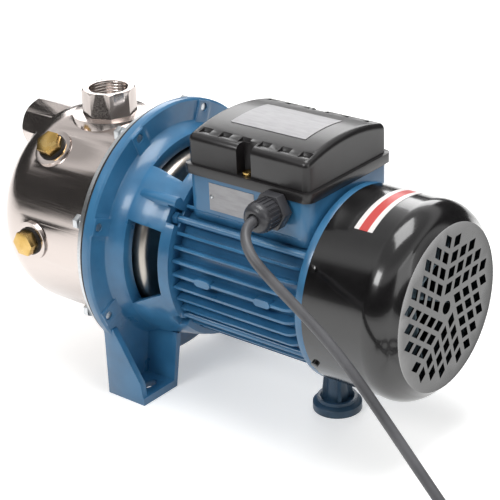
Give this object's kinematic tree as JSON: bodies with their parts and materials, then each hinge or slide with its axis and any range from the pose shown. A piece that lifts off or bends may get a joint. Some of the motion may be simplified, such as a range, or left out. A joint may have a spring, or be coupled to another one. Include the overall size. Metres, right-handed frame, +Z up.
{
  "type": "jet pump",
  "caption": "Self-priming jet pump: stainless casing with threaded ports, cast lantern bracket on feet, finned electric motor with fan cover, terminal box and mains lead.",
  "frame": {"origin": "on the floor, midway between the two slots of the lantern feet", "axes": "+X along the shaft from the pump to the fan, +Z up out of the discharge port"},
  "size_m": [0.567, 0.3307, 0.2164],
  "materials": {
    "stainless": "satin brushed stainless sheet",
    "zinc_steel": "zinc plated steel",
    "bearing_steel": "ground bearing steel",
    "gasket_rubber": "black nitrile rubber",
    "blue_paint": "blue enamel on cast iron and aluminium",
    "brass": "turned brass",
    "ceramic": "seal ceramic and carbon",
    "technopolymer": "glass filled plastic",
    "lamination": "stacked steel laminations",
    "copper": "varnished copper wire",
    "shaft_steel": "ground shaft steel",
    "black_cover": "black moulded plastic",
    "fan_cover_paint": "gloss black sheet steel",
    "foot_plastic": "dark blue plastic",
    "gland_plastic": "dark grey nylon",
    "cable_rubber": "grey-black rubber jacket",
    "capacitor_case": "white plastic can"
  },
  "bodies": {
    "pump": {"pump_casing": "stainless", "casing_backing_ring": "zinc_steel", "casing_gasket": "gasket_rubber", "casing_bolts": "zinc_steel", "filler_plug": "brass", "drain_plug": "brass", "plug_washers": "gasket_rubber", "seal_plate": "stainless", "seal_stationary_seat": "ceramic", "diffuser": "technopolymer", "ejector_venturi": "technopolymer", "ejector_nozzle": "technopolymer", "ejector_seal_ring": "gasket_rubber", "lantern_bracket": "blue_paint", "motor_housing": "blue_paint", "stator_core": "lamination", "stator_windings": "copper", "front_bearing_outer_race": "bearing_steel", "rear_bearing_outer_race": "bearing_steel", "rear_shield": "blue_paint", "bearing_wave_spring": "zinc_steel", "tie_rods": "zinc_steel", "fan_cover": "fan_cover_paint", "fan_cover_screws": "zinc_steel", "rear_foot": "foot_plastic", "terminal_box_gasket": "gasket_rubber", "terminal_box_cover": "black_cover", "terminal_box_screws": "brass", "terminal_board": "technopolymer", "run_capacitor": "capacitor_case", "cable_gland_body": "gland_plastic", "cable_gland_nut": "gland_plastic", "power_cable": "cable_rubber", "cable_coil": "cable_rubber", "mains_plug": "cable_rubber"},
    "rotor": {"shaft": "shaft_steel", "rotor_core": "lamination", "impeller": "technopolymer", "impeller_nut": "zinc_steel", "cooling_fan": "technopolymer", "seal_rotating_ring": "ceramic", "seal_bellows": "gasket_rubber", "water_slinger": "gasket_rubber", "front_bearing_inner_race": "bearing_steel", "rear_bearing_inner_race": "bearing_steel"},
    "front_balls": {"front_bearing_balls": "bearing_steel"},
    "rear_balls": {"rear_bearing_balls": "bearing_steel"}
  },
  "joints": [
    {"name": "shaft_spin", "type": "hinge", "parent": "pump", "child": "rotor", "pos_m": [0, 0, 0.108], "axis": [1, 0, 0], "continuous": true},
    {"name": "front_balls_roll", "type": "hinge", "parent": "pump", "child": "front_balls", "pos_m": [0.033, 0, 0.108], "axis": [1, 0, 0], "continuous": true},
    {"name": "rear_balls_roll", "type": "hinge", "parent": "pump", "child": "rear_balls", "pos_m": [0.1415, 0, 0.108], "axis": [1, 0, 0], "continuous": true}
  ],
  "couplings": [
    {"joint": "front_balls_roll", "follows": "shaft_spin", "ratio": 0.3877},
    {"joint": "rear_balls_roll", "follows": "shaft_spin", "ratio": 0.372}
  ]
}
